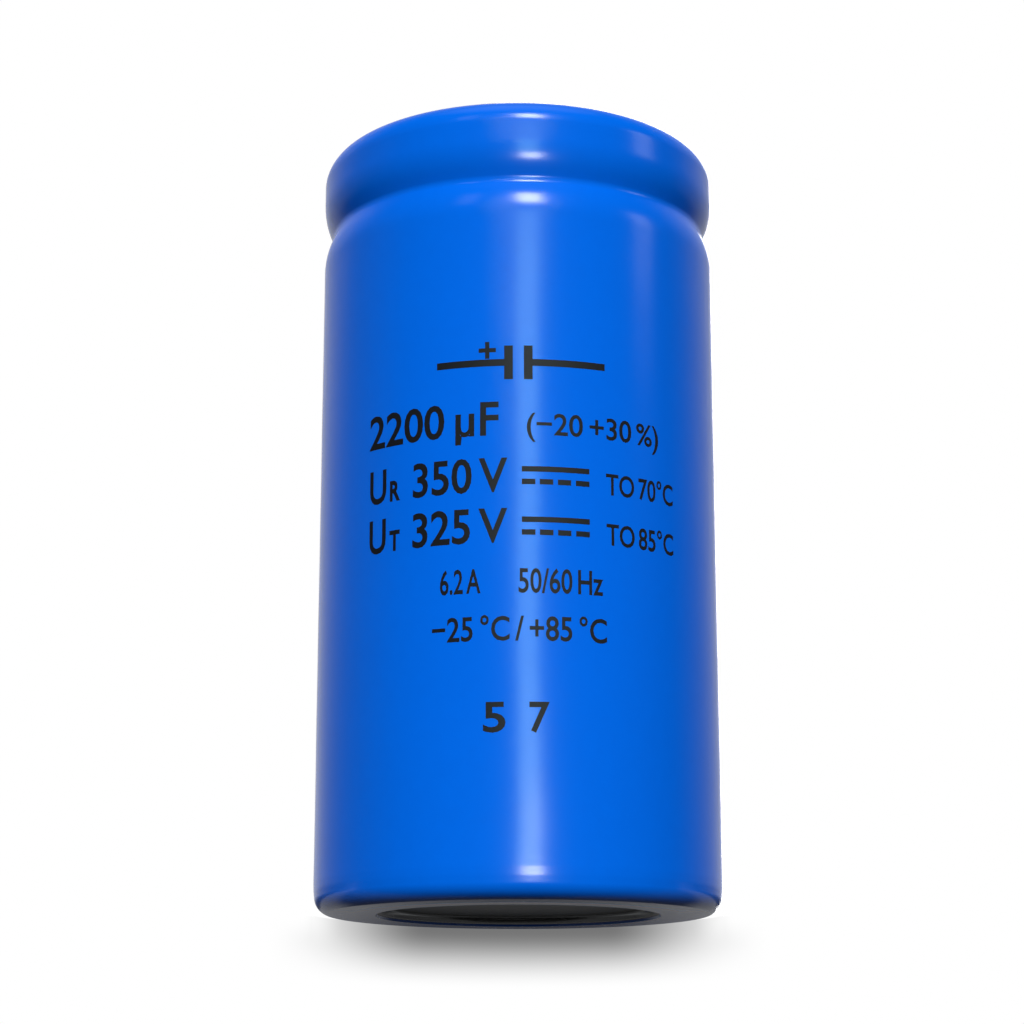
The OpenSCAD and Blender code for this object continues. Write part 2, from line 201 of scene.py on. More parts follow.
sleeve_chain = sleeve_shape([CORNER], DIP, BRIDGE_R, SHOULDER_R)
film_chain = sleeve_shape(drawn_corner(SOFT_CORNER), SOFT_DIP, SOFT_BOTTOM_R, SOFT_SHOULDER_R)
for name, chain in (("sleeve", sleeve_chain), ("film", film_chain)):
    print(name, "outside, both ends in mm:", trace(chain, SLEEVE_T)[[0, -1]].round(3).tolist())

# %% [markdown]
# Everything round on this object is turned, drawn, rolled or moulded round an axis. A profile turned round
# its axis makes one grid of points, and numpy computes the grid at once.


# %%
# Meshes from grids of points

def revolve(profile, segments, centre=(0.0, 0.0)):
    """Grid of points of a profile in mm, turned round a vertical axis, in metres.

    For angle t, x = centre x + r cos t, y = centre y + r sin t, and z is the profile's height."""
    t = np.linspace(0, 2 * np.pi, segments, endpoint=False)
    r, h = profile[:, :1], profile[:, 1:]
    return MM * np.stack([centre[0] + r * np.cos(t), centre[1] + r * np.sin(t), h + 0 * t], axis=-1)


def grid_faces(rows, columns, close_rows):
    """Four-sided faces between neighbours of a grid. The last column meets the first, and so may the rows.

    Point (row i, column j) is number i * columns + j, and a face joins (i, j), (i, j + 1), (i + 1, j + 1),
    (i + 1, j)."""
    i = np.arange(rows if close_rows else rows - 1)[:, None]
    j = np.arange(columns)[None, :]
    up, right = (i + 1) % rows, (j + 1) % columns
    corners = [i * columns + j, i * columns + right, up * columns + right, up * columns + j]
    return np.stack([c + 0 * i for c in corners], axis=-1).reshape(-1, 4)


def finish_mesh(obj, crease=40.0):
    """Joins doubled points, turns the faces outwards and smooths them.

    Joining closes a turned piece at its poles. Edges with more than crease degrees between their faces stay
    sharp."""
    bm = bmesh.new()
    bm.from_mesh(obj.data)
    bmesh.ops.remove_doubles(bm, verts=bm.verts, dist=1e-7)
    bmesh.ops.recalc_face_normals(bm, faces=bm.faces)
    volume = bm.calc_volume(signed=True)
    if volume < 0:
        bmesh.ops.reverse_faces(bm, faces=bm.faces)
    open_edges = sum(e.is_boundary for e in bm.edges)
    bm.to_mesh(obj.data)
    bm.free()
    obj.data.polygons.foreach_set("use_smooth", np.ones(len(obj.data.polygons), bool))
    obj.data.set_sharp_from_angle(angle=math.radians(crease))
    return abs(volume), open_edges


def add_piece(name, points, faces, material, node):
    """Makes a finished piece from points and faces. It rides on the one body and replaces a CAD node."""
    mesh = bpy.data.meshes.new(name)
    mesh.from_pydata(points.reshape(-1, 3).tolist(), [], faces.tolist())
    obj = bpy.data.objects.new(name, mesh)
    bpy.context.scene.collection.objects.link(obj)
    volume, open_edges = finish_mesh(obj)
    mesh.materials.append(material)
    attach(obj, "root")
    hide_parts(node)
    print(f"{name}: {len(mesh.polygons)} faces, {volume / MM ** 3:.1f} mm3, {open_edges} open edges")


def add_turned(name, profile, segments, material, node, centre=(0.0, 0.0)):
    """Makes a piece by turning a closed or pole-to-pole profile round a vertical axis."""
    points = revolve(profile, segments, centre)
    closed = not (profile[0, 0] < 1e-6 and profile[-1, 0] < 1e-6)
    add_piece(name, points, grid_faces(len(profile), segments, closed), material, node)


# %% [markdown]
# Materials follow how each stuff is made. Drawn and turned aluminium carries fine rings round its axis,
# moulded phenolic is slightly mottled, rubber is matt, board and paper show fibres. Colours are written as
# the hex values that a colour picker shows and are turned into linear light by one function. Pictures could
# carry the grain, but noise and wave textures need no file and no unwrapping, and stay fine close up.


# %%
# Small helpers for materials

def linear(code):
    """Linear RGBA of an sRGB hex code: ((c + 0.055) / 1.055) ^ 2.4, or c / 12.92 below 0.04045."""
    c = np.array([int(code[i:i + 2], 16) for i in (1, 3, 5)]) / 255
    return (*np.where(c <= 0.04045, c / 12.92, ((c + 0.055) / 1.055) ** 2.4).tolist(), 1.0)


def add(tree, kind, inputs=None, **settings):
    """Adds a node, sets its settings, and sets or links its inputs.

    A node given as an input is linked by its first output."""
    node = tree.nodes.new("ShaderNode" + kind)
    for key, value in settings.items():
        setattr(node, key, value)
    for key, value in (inputs or {}).items():
        if isinstance(value, bpy.types.Node):
            value = value.outputs[0]
        if isinstance(value, bpy.types.NodeSocket):
            tree.links.new(value, node.inputs[key])
        else:
            node.inputs[key].default_value = value
    return node


def new_tree(name):
    """A material and its empty node tree."""
    material = bpy.data.materials.new(name)
    material.use_nodes = True
    material.node_tree.nodes.clear()
    return material, material.node_tree


def finish(name, light, dark, pattern, rough, bump_mm, centre=(0.0, 0.0), **surface):
    """A surface whose colour, roughness and height follow one pattern from 0 to 1.

    The colour runs from light to dark, the roughness between the two numbers of rough, and bump_mm is the
    height of the relief in mm. surface gives the shader's constant values by their names."""
    material, tree = new_tree(name)
    place = add(tree, "TexCoord").outputs["Object"]
    moved = add(tree, "Mapping", {"Vector": place, "Location": (-centre[0] * MM, -centre[1] * MM, 0)})
    height = pattern(tree, moved)
    colour = add(tree, "Mix", {0: height, 6: linear(light), 7: linear(dark)}, data_type="RGBA").outputs[2]
    roughness = add(tree, "MapRange", {0: height, 3: rough[0], 4: rough[1]})
    relief = add(tree, "Bump", {"Height": height, "Distance": bump_mm * MM})
    shader = add(tree, "BsdfPrincipled",
                 {"Base Color": colour, "Roughness": roughness, "Normal": relief, **surface})
    add(tree, "OutputMaterial", {0: shader})
    return material


def grain(size_mm, detail=3.0, stretch=(1, 1, 1)):
    """Pattern of soft grains of one size. stretch makes them longer along an axis."""
    def pattern(tree, place):
        scaled = add(tree, "Mapping", {"Vector": place, "Scale": tuple(1 / s for s in stretch)})
        return add(tree, "TexNoise", {"Vector": scaled, "Scale": 1 / (size_mm * MM), "Detail": detail})
    return pattern


def rings(spacing_mm, uneven=2.0):
    """Pattern of tool rings round the axis, a spacing apart, and broken up by soft grains.

    The wave texture repeats each 2 pi / (20 * scale), which sets its scale."""
    def pattern(tree, place):
        scale = 2 * math.pi / (20 * spacing_mm * MM)
        wave = add(tree, "TexWave",
                   {"Vector": place, "Scale": scale, "Distortion": uneven, "Detail": 2.0,
                    "Detail Scale": 0.02}, wave_type="RINGS", rings_direction="Z").outputs["Fac"]
        soft = add(tree, "TexNoise", {"Vector": place, "Scale": 1 / (1.5 * MM), "Detail": 4.0})
        return add(tree, "Mix", {0: 0.5, 2: wave, 3: soft})
    return pattern


# %% [markdown]
# The sleeve is PVC film, coloured in the mass, shrunk on with hot air. Its surface mirrors softly and has
# the faint orange peel of heat-shrunk film. The print on it is one pass of black ink, a little duller than
# the film. PVC has an index of about 1.53.

# %%
# The materials

# Shrunk PVC film: clear blue gloss with a faint orange peel
sleeve_pvc = finish("shrunk_pvc_blue", "#006AE9", "#0067E4", grain(2.5), (0.18, 0.21), 0.008, IOR=1.53)

# Screen ink: soft black, duller than the film round it
ink = finish("screen_ink_black", "#101216", "#17191D", grain(0.6), (0.48, 0.58), 0.004, IOR=1.45)

# Deep-drawn aluminium: dull grey with rings round the axis, drawn wider than real ones so that they show
drawn_aluminium = finish("drawn_aluminium", "#A6A8AA", "#939597", rings(0.7), (0.2, 0.27), 0.003,
                         Metallic=1.0, **{"Specular Tint": (0.3, 0.3, 0.3, 1.0)})

# Moulded phenolic: a near black with a satin face, faintly mottled
phenolic = finish("moulded_phenolic", "#26231F", "#1B1917", grain(1.2, 6.0), (0.42, 0.55), 0.010, IOR=1.6)

# Moulded rubber: matt black, without the phenolic's brown
rubber = finish("moulded_rubber", "#242526", "#1A1B1C", grain(0.8, 5.0), (0.62, 0.78), 0.015, IOR=1.52)

# Rolled foil: bright, with long lines up the tab
foil = finish("rolled_aluminium_foil", "#D3D5D7", "#C2C4C7", grain(0.5, 3.0, (1, 1, 14)), (0.24, 0.34),
              0.003, Metallic=1.0)

# Pressed board: matt tan, with short fibres along it
board = finish("pressed_board", "#C4AC7E", "#A98E60", grain(0.9, 8.0, (3, 1, 1)), (0.7, 0.85), 0.03, IOR=1.5)

# Soaked paper roll: straw yellow, part damp and part dry, with the grain up the roll
paper = finish("soaked_paper_roll", "#D3C19A", "#B79F72", grain(0.7, 7.0, (1, 1, 6)), (0.35, 0.6), 0.02,
               IOR=1.5)

# Polyester tape: even amber gloss
tape = finish("polyester_tape", "#CFA348", "#BC8F36", grain(3.0, 2.0), (0.2, 0.3), 0.006, IOR=1.6)

# Moulded polypropylene: milky and waxy
polypropylene = finish("moulded_polypropylene", "#E4DFD2", "#D8D2C3", grain(2.0, 3.0), (0.35, 0.45), 0.01,
                       IOR=1.49)

CAD_FINISH = {
    "cover_disc": phenolic, "terminal_seal_plus": rubber, "terminal_seal_minus": rubber,
    "anode_tab_inner": foil, "anode_tab_outer": foil, "cathode_tab_inner": foil, "cathode_tab_outer": foil,
    "tab_insulator": board, "winding": paper, "closing_tape_upper": tape, "closing_tape_lower": tape,
    "base_insulator": polypropylene}
for side, x in (("plus", -TERMINAL_X), ("minus", TERMINAL_X)):
    # Punched aluminium: satin, with rings round its own hole
    washer = finish("punched_washer_" + side, "#CBCDD0", "#B9BBBE", rings(0.3), (0.3, 0.4), 0.003, (x, 0.0),
                    Metallic=1.0)
    CAD_FINISH["rivet_washer_" + side] = washer
for node, material in CAD_FINISH.items():
    for slot in nodes[node].material_slots:
        slot.material = material
print("CAD nodes that stay and get a material:", len(CAD_FINISH))

# %% [markdown]
# The sleeve is a tube of film that was shrunk over the closed can. It turns in under the base and over the
# rim, and bridges the bottom of the rolled groove. The film's outside runs a little softer than the can
# over the shoulders of the groove and round the base corner, where it was stretched thin, and its inside
# follows the can. Its wall is never quite true: the film stands off by some hundredths of a millimetre in
# long soft waves. The same function of angle and height gives those waves to the film and to the print, so
# that the ink always lies on the film. The corner gets its points 0.4 mm apart, because its curve shows in
# the gloss. A Screw modifier could turn the profile, but waves and a ragged cut are simple sums on a grid
# of points.


# %%
# The sleeve

SLEEVE_SEGMENTS, FILM_STEP, CORNER_STEP, CORNER_TOP = 288, 1.6, 0.4, 9.0
INNER_TURN, INNER_STEP = 6.0, 8.0
WALL_LOW, WALL_HIGH = (6, 14), (116, 124)
FILM_GAP, CUT_LOW, CUT_HIGH, CUT_SLANT = 0.005, 0.25, 0.12, 0.3

# Each wave is (size in mm, waves round the can, start in radians, drift in radians per mm of height)
WAVES = ((0.016, 5, 0.9, 0.05), (0.012, 9, -0.8, 0.11), (0.008, 3, 0.0, 0.31))


def smooth(low, high, x):
    """0 below low, 1 above high, and 3 u^2 - 2 u^3 between them, where u runs from 0 to 1."""
    u = np.clip((x - low) / (high - low), 0, 1)
    return u * u * (3 - 2 * u)


def film_wave(angle, height):
    """How far the film stands off the true cylinder, in mm: waves that fade out near groove and base.

    A wave is size * sin(count * angle + start + drift * height)."""
    on_wall = smooth(*WALL_LOW, height) * (1 - smooth(*WALL_HIGH, height))
    return on_wall * sum(size * np.sin(count * angle + start + drift * height)
                         for size, count, start, drift in WAVES)


def ragged(angle):
    """Uneven cut of the film's end, from 0 to 1: three sines of the angle, added and scaled to that range."""
    wave = np.sin(2 * angle + 0.5) + 0.5 * np.sin(7 * angle + 1.1) + 0.3 * np.sin(17 * angle)
    return 0.5 + wave / 3.6


outside = densify(trace(film_chain, SLEEVE_T), FILM_STEP)
above = int(np.argmax(outside[:, 1] > CORNER_TOP))
outside = np.concatenate([densify(outside[:above + 1], CORNER_STEP)[:-1], outside[above:]])
inside = densify(trace(sleeve_chain, FILM_GAP, INNER_TURN), INNER_STEP)[::-1]
sleeve_profile = np.concatenate([outside, inside])
angles = np.linspace(0, 2 * np.pi, SLEEVE_SEGMENTS, endpoint=False)
radius, height = sleeve_profile[:, :1] + 0 * angles, sleeve_profile[:, 1:] + 0 * angles
is_outside = (np.arange(len(sleeve_profile)) < len(outside))[:, None]
radius = radius + is_outside * film_wave(angles, height)
low_end = (height < 2 * SLEEVE_T) * (1 - smooth(RECESS_R + SLEEVE_SETBACK, RECESS_R + 3, radius))
high_end = (height > TOP_Z - 1) * (1 - smooth(BAND_R - CURL_R - SLEEVE_TURN_IN, BAND_R - CURL_R, radius))
cut = ragged(angles) * (CUT_LOW * low_end + CUT_HIGH * high_end)
radius = radius + cut + CUT_SLANT * is_outside * low_end
film_points = MM * np.stack([radius * np.cos(angles), radius * np.sin(angles), height], axis=-1)
add_piece("sleeve_film", film_points, grid_faces(len(sleeve_profile), SLEEVE_SEGMENTS, True),
          sleeve_pvc, "sleeve")

# %% [markdown]
# The can is deep-drawn from one disc of aluminium. Its base is pressed in, so that it stands on a ring, and
# its neck is rolled in after the disc is set, then the rim is curled over the rubber. Only the pressed-in
# base and the lip of the curl show outside the sleeve. The can could end where the sleeve hides it, but its
# whole wall is drawn, so that it is right with the sleeve off.

# %%
# The can

ROUND_SEGMENTS, CAN_STEP, CAN_INNER_TURN = 192, 6.0, 5.0
can_outside = densify(trace(can_chain), CAN_STEP)
can_inside = densify(trace(can_chain, -WALL, CAN_INNER_TURN), INNER_STEP)[::-1]
add_turned("can_shell", np.concatenate([can_outside, can_inside]), ROUND_SEGMENTS, drawn_aluminium,
           "can")


# %% [markdown]
# The rubber ring under the lip, the vent plug and the terminals are turned or moulded pieces with slightly
# rounded edges. Each is a profile whose corners are cut by small arcs. A Bevel modifier would round every
# edge alike, while here each corner has its own radius.


# %%
# Rounded profiles

def rounded(corners, radii, count=5):
    """A path of straight lines whose corners are replaced by arcs.

    At a corner the arc touches both lines at a distance radius * tan(turn / 2) from it. A radius of 0 keeps
    the corner sharp."""
    corners = np.array(corners, float)
    path = [corners[:1]]
    for before, here, after, radius in zip(corners[:-2], corners[1:-1], corners[2:], radii):
        into = (here - before) / np.linalg.norm(here - before)
        out = (after - here) / np.linalg.norm(after - here)
        turn = math.acos(np.clip(into @ out, -1, 1))
        if radius == 0 or turn < 1e-6:
            path.append(here[None])
            continue
        reach = radius * math.tan(turn / 2)
        start = here - into * reach
        left = np.array([-into[1], into[0]]) * np.sign(into[0] * out[1] - into[1] * out[0])
        a = np.linspace(0, turn, count)[:, None]
        path.append(start + radius * (np.sin(a) * into + (1 - np.cos(a)) * left))
    path.append(corners[-1:])
    return np.concatenate(path)


GASKET_IN_R, GASKET_GAP = LIP_INNER_R - 1.2, 0.2
gasket_r = CURL_R - WALL - GASKET_GAP
curl_centre = (BAND_R - CURL_R, TOP_Z - CURL_R)
top_turn = math.degrees(math.asin((LIP_Z - curl_centre[1]) / gasket_r))
gasket_top = trace([(*curl_centre, gasket_r, 0, top_turn, 1)])
gasket_inner = rounded([gasket_top[-1], (GASKET_IN_R, LIP_Z), (GASKET_IN_R, DISC_RIM_Z),
                        (curl_centre[0] + gasket_r, DISC_RIM_Z)], (0.45, 0.2))
gasket_profile = np.concatenate([gasket_top, gasket_inner[1:-1], [[gasket_top[0, 0], DISC_RIM_Z]]])
add_turned("rim_rubber", gasket_profile, ROUND_SEGMENTS, rubber, "rim_gasket")

VENT_Y, VENT_R, VENT_FLANGE_R, VENT_TOP, VENT_SEGMENTS = 17.0, 2.5, 4.2, PLATEAU_Z + 1.4, 64
DISC_Z = float(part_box("cover_disc")[0][2]) / MM
plug_profile = rounded([(0, DISC_Z - 2), (VENT_R - 0.5, DISC_Z - 2), (VENT_R + 0.5, DISC_Z - 0.5),
                        (VENT_R + 0.5, DISC_Z), (VENT_R, DISC_Z), (VENT_R, PLATEAU_Z),
                        (VENT_FLANGE_R, PLATEAU_Z), (VENT_FLANGE_R, VENT_TOP), (VENT_R - 0.4, VENT_TOP),
                        (VENT_R - 0.8, VENT_TOP - 0.25), (0, VENT_TOP - 0.25)],
                       (0.2, 0.1, 0.1, 0, 0, 0.15, 0.6, 0.2, 0.2))
add_turned("vent_rubber", plug_profile, VENT_SEGMENTS, rubber, "vent_plug", (0.0, VENT_Y))

# %% [markdown]
# A terminal is turned from aluminium bar, pushed through the disc and riveted over a washer. Its blind hole
# is tapped M5: pitch 0.8 mm, 4.2 mm across the crests and 4.9 mm across the roots. A Boolean could cut the
# thread with a helix, but it leaves ragged faces. Here the wall of the hole is a grid whose radius follows
# a triangle wave of height less one pitch per turn, so that the groove climbs as a helix.


# %%
# The terminals and their threads

PAD_R, SHANK_R, RIVET_R = 6.5, 4.0, 5.5
TAP_R, ROOT_R, PITCH, MOUTH, THREAD_STEP, DRILL_ANGLE = 2.1, 2.46, 0.8, 0.45, 0.08, 59

# Heights of the pad, the washer and the riveted end, as in the CAD source
PAD_TOP, PAD_Z = TOP_Z + SLEEVE_T + 3.0, BOSS_Z + 0.4
WASHER_TOP = DISC_Z - 0.6
WASHER_Z = WASHER_TOP - 1.0
RIVET_Z = WASHER_Z - 1.6
TAP_DEPTH, THREAD_DEPTH = 11.0, 9.6
TERMINAL_SEGMENTS = 72


def terminal_grid(centre_x):
    """Grid of a terminal's surface, from its riveted end over the pad down into the threaded hole.

    In the hole the radius is the crest's plus the thread's depth times w. w is 1.25 - 5 |u - 0.5|, kept
    between 0 and 1, where u is the fraction of a pitch of (height - pitch * turn). It fades out at the
    mouth and at the last thread."""
    body = rounded([(0, RIVET_Z), (RIVET_R, RIVET_Z), (RIVET_R, WASHER_Z), (SHANK_R, WASHER_Z),
                    (SHANK_R, PAD_Z), (PAD_R, PAD_Z), (PAD_R, PAD_TOP), (TAP_R + MOUTH, PAD_TOP),
                    (TAP_R, PAD_TOP - MOUTH)],
                   (0.6, 0.2, 0, 0, 0.35, 0.45, 0.08))
    hole_h = np.arange(PAD_TOP - 0.55, PAD_TOP - THREAD_DEPTH, -THREAD_STEP)
    hole = np.stack([np.full_like(hole_h, TAP_R), hole_h], axis=1)
    point = TAP_R / math.tan(math.radians(DRILL_ANGLE))
    tip = np.array([(TAP_R, PAD_TOP - TAP_DEPTH), (0, PAD_TOP - TAP_DEPTH - point)])
    profile = np.concatenate([body, hole, tip])
    points = revolve(profile, TERMINAL_SEGMENTS)
    turn = np.linspace(0, 1, TERMINAL_SEGMENTS, endpoint=False)[None, :]
    in_hole = slice(len(body), len(body) + len(hole))
    u = (hole_h[:, None] / PITCH - turn) % 1.0
    depth = np.clip(1.25 - 5 * np.abs(u - 0.5), 0, 1)
    depth = depth * (1 - smooth(PAD_TOP - 1.0, PAD_TOP - 0.5, hole_h[:, None]))
    depth = depth * smooth(PAD_TOP - THREAD_DEPTH, PAD_TOP - THREAD_DEPTH + PITCH, hole_h[:, None])
    scale = 1 + (ROOT_R - TAP_R) / TAP_R * depth
    points[in_hole, :, 0] *= scale
    points[in_hole, :, 1] *= scale
    points[:, :, 0] += centre_x * MM
    return points


for side, x in (("plus", -TERMINAL_X), ("minus", TERMINAL_X)):
    # Turned aluminium: bright, with fine tool rings round its own axis
    turned = finish("turned_aluminium_" + side, "#D9DBDD", "#C3C5C8", rings(0.22), (0.2, 0.3), 0.004,
                    (x, 0.0), Metallic=1.0)
    points = terminal_grid(x)
    add_piece("terminal_" + side + "_threaded", points, grid_faces(len(points), TERMINAL_SEGMENTS, False),
              turned, "terminal_" + side)

# %% [markdown]
# The front is printed in one pass of black ink: the circuit sign of a polarised capacitor, its value and
# tolerance, two voltages with the sign for direct current and their temperatures, and three plain lines.
# Letters are made flat in the plane of the unrolled film, where x is the length along the arc. They are cut
# into strips 0.8 mm wide and then wrapped: angle = arc length / radius, and the radius follows the film's
# own waves. So the ink lies on the film all over, 0.03 mm thick as far as it shows. A picture could carry
# the print, but shapes stay sharp close up and travel with the part.


# %%
# Ink shapes, flat and wrapped

INK_UP, INK_DOWN, STRIP, WORD_SPACE, FLAT_T, CURVE_STEPS = 0.03, 0.02, 0.8, 0.6, 0.1, 4


def flat_text(body, bold):
    """Mesh of a line of text at font size 1, in the plane z = 0, with its strokes widened by bold."""
    curve = bpy.data.curves.new("line", "FONT")
    curve.body, curve.extrude, curve.offset = body, FLAT_T / 2, bold
    curve.space_word, curve.resolution_u = WORD_SPACE, CURVE_STEPS
    obj = bpy.data.objects.new("line", curve)
    bpy.context.scene.collection.objects.link(obj)
    bpy.context.view_layer.update()
    mesh = bpy.data.meshes.new_from_object(obj.evaluated_get(bpy.context.evaluated_depsgraph_get()))
    bpy.data.objects.remove(obj)
    bpy.data.curves.remove(curve)
    return mesh


def cap_height(bold):
    """Height of a capital letter in the built-in font."""
    mesh = flat_text("H", bold)
    return max(v.co.y for v in mesh.vertices)


def wrap(name, mesh):
    """Cuts a flat mesh, in mm along the arc and up, into strips and lays it on the film."""
    bm = bmesh.new()
    bm.from_mesh(mesh)
    bmesh.ops.remove_doubles(bm, verts=bm.verts, dist=1e-5)
    xs = [v.co.x for v in bm.verts]
    for x in np.arange(min(xs) + STRIP, max(xs), STRIP):
        bmesh.ops.bisect_plane(bm, geom=bm.verts[:] + bm.edges[:] + bm.faces[:], plane_co=(x, 0, 0),
                               plane_no=(1, 0, 0), dist=1e-6)
    bm.to_mesh(mesh)
    bm.free()
    flat = np.empty(len(mesh.vertices) * 3, np.float32)
    mesh.vertices.foreach_get("co", flat)
    flat = flat.reshape(-1, 3).astype(float)
    angle = flat[:, 0] / SLEEVE_R - np.pi / 2
    lift = np.where(flat[:, 2] > 0, INK_UP, -INK_DOWN)
    r = SLEEVE_R + film_wave(angle % (2 * np.pi), flat[:, 1]) + lift
    placed = MM * np.stack([r * np.cos(angle), r * np.sin(angle), flat[:, 1]], axis=1)
    mesh.vertices.foreach_set("co", placed.astype(np.float32).ravel())
    mesh.update()
    obj = bpy.data.objects.new(name, mesh)
    bpy.context.scene.collection.objects.link(obj)
    finish_mesh(obj)
    mesh.materials.clear()
    mesh.materials.append(ink)
    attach(obj, "root")


def print_line(name, body, left, right, base, cap, bold):
    """Prints a text from left to right along the arc, on a baseline, with capitals cap high, all in mm."""
    mesh = flat_text(body, bold)
    co = np.empty(len(mesh.vertices) * 3, np.float32)
    mesh.vertices.foreach_get("co", co)
    co = co.reshape(-1, 3)
    low, high = co[:, 0].min(), co[:, 0].max()
    co[:, 0] = left + (co[:, 0] - low) / (high - low) * (right - left)
    co[:, 1] = base + co[:, 1] * cap / cap_height(bold)
    mesh.vertices.foreach_set("co", co.ravel())
    wrap(name, mesh)


def print_bars(name, boxes):
    """Prints plain bars, each (left, right, bottom, top) in mm."""
    bm = bmesh.new()
    for left, right, low, high in boxes:
        made = bmesh.ops.create_cube(bm, size=1.0)["verts"]
        bmesh.ops.scale(bm, vec=(right - left, high - low, FLAT_T), verts=made)
        bmesh.ops.translate(bm, vec=((left + right) / 2, (low + high) / 2, 0), verts=made)
    mesh = bpy.data.meshes.new(name)
    bm.to_mesh(mesh)
    bm.free()
    wrap(name, mesh)


# %% [markdown]
# The print has its places in one table, measured on the film in mm: along the arc from the middle of the
# front, and up from the base. The sign for direct current is a long bar over four short ones. The
# capacitor's sign has two leads, two plates and a plus mark on the positive side.

# %%
# The print

# Each line: name, text, left, right, baseline, height of its capitals, boldness
LINES = [
    ("print_value", "2200 µF", -30.6, -3.6, 83.3, 6.2, 0.016),
    ("print_tolerance", "(−20 +30 %)", 1.5, 28.3, 83.3, 4.0, 0.012),
    ("print_quality_left", "6.2 A", -14.4, -6.8, 54.15, 4.35, 0.014),
    ("print_quality_right", "50/60 Hz", 0.0, 15.6, 54.15, 4.35, 0.014),
    ("print_range", "−25 °C / +85 °C", -15.9, 16.3, 45.5, 4.3, 0.014),
    ("print_digit_left", "5", -6.3, -2.3, 29.2, 5.25, 0.018),
    ("print_digit_right", "7", 1.9, 5.5, 29.2, 5.25, 0.018)]
DASHES = ((0.6, 3.05), (3.85, 6.3), (7.15, 9.6), (10.5, 13.1))
DASH_LOW, DASH_T, DASH_RISE = 1.25, 1.0, 2.35
for index, volts, limit, base in (("R", "350 V", "TO 70°C", 72.75), ("T", "325 V", "TO 85°C", 63.4)):
    LINES += [
        ("print_symbol_" + index, "U", -30.4, -26.2, base + 0.1, 6.2, 0.016),
        ("print_index_" + index, index, -25.3, -22.9, base + 0.1, 3.7, 0.035),
        ("print_volts_" + index, volts, -20.1, -2.0, base, 6.2, 0.016),
        ("print_limit_" + index, limit, 16.4, 32.1, base + 0.2, 3.9, 0.014)]
    low = base + DASH_LOW
    print_bars("print_direct_current_" + index,
               [(DASHES[0][0], DASHES[-1][1], low + DASH_RISE, low + DASH_RISE + DASH_T)]
               + [(left, right, low, low + DASH_T) for left, right in DASHES])
for line in LINES:
    print_line(*line)

SIGN_LOW, SIGN_HIGH, STROKE = 93.7, 100.1, 1.3
middle = (SIGN_LOW + SIGN_HIGH) / 2
lead = middle - STROKE / 2, middle + STROKE / 2
print_bars("print_capacitor_sign", [
    (-15.3, -2.3, *lead), (2.3, 16.3, *lead),
    (-2.6, -1.0, SIGN_LOW, SIGN_HIGH), (1.0, 2.6, SIGN_LOW, SIGN_HIGH),
    (-7.3, -4.1, SIGN_HIGH - 1.2, SIGN_HIGH - 0.4), (-6.1, -5.3, SIGN_HIGH - 2.4, SIGN_HIGH + 0.8)])
print("printed pieces:", len(LINES) + 3)

# %% [markdown]
# The stage. The photograph was taken from above a white table on which the can lay, so in the can's own
# upright frame the camera is in front of it and slightly below its base, and the white is behind it. For
# the other views the floor is a pale ring at z = 0 that takes the real shadow. It can't be seen from below.


# %%
# Stage: the floor

def stage_piece(name, points, faces, material):
    """A stage object that neither lights nor shades the capacitor."""
    mesh = bpy.data.meshes.new(name)
    mesh.from_pydata(points.reshape(-1, 3).tolist(), [], faces.tolist())
    mesh.materials.append(material)
    obj = bpy.data.objects.new(name, mesh)
    bpy.context.scene.collection.objects.link(obj)
    obj.visible_diffuse = obj.visible_transmission = obj.visible_shadow = False
    return obj


def one_sided(tree, shader, cover):
    """The shader where it is seen from its front and cover is 1, and nothing elsewhere."""
    back = add(tree, "NewGeometry").outputs["Backfacing"]
    front = add(tree, "Math", {0: 1.0, 1: back}, operation="SUBTRACT")
    shown = add(tree, "Math", {0: front, 1: cover}, operation="MULTIPLY")
    mixed = add(tree, "MixShader", {0: shown, 1: add(tree, "BsdfTransparent"), 2: shader})
    add(tree, "OutputMaterial", {0: mixed})


FLOOR_HOLE, FLOOR_FADE, FLOOR_R, FLOOR_GLOW, FLOOR_SEGMENTS = 0.0335, 0.28, 0.5, 0.35, 96
floor_material, tree = new_tree("stage_floor")
place = add(tree, "TexCoord").outputs["Object"]
distance = add(tree, "VectorMath", {0: place}, operation="LENGTH").outputs["Value"]
cover = add(tree, "MapRange", {0: distance, 1: FLOOR_FADE, 2: FLOOR_R, 3: 1.0, 4: 0.0},
            interpolation_type="SMOOTHSTEP")
paint = add(tree, "BsdfDiffuse", {0: linear("#F4F4F4")})
glow = add(tree, "Emission", {0: (1, 1, 1, 1), 1: FLOOR_GLOW})
one_sided(tree, add(tree, "AddShader", {0: paint, 1: glow}), cover)
floor_points = revolve(np.array([(FLOOR_R, 0.0), (FLOOR_HOLE, 0.0)]) / MM, FLOOR_SEGMENTS)
floor = stage_piece("stage_floor", floor_points, grid_faces(2, FLOOR_SEGMENTS, False), floor_material)
floor.visible_glossy = False
print("floor ring from", FLOOR_HOLE, "to", FLOOR_R, "m")
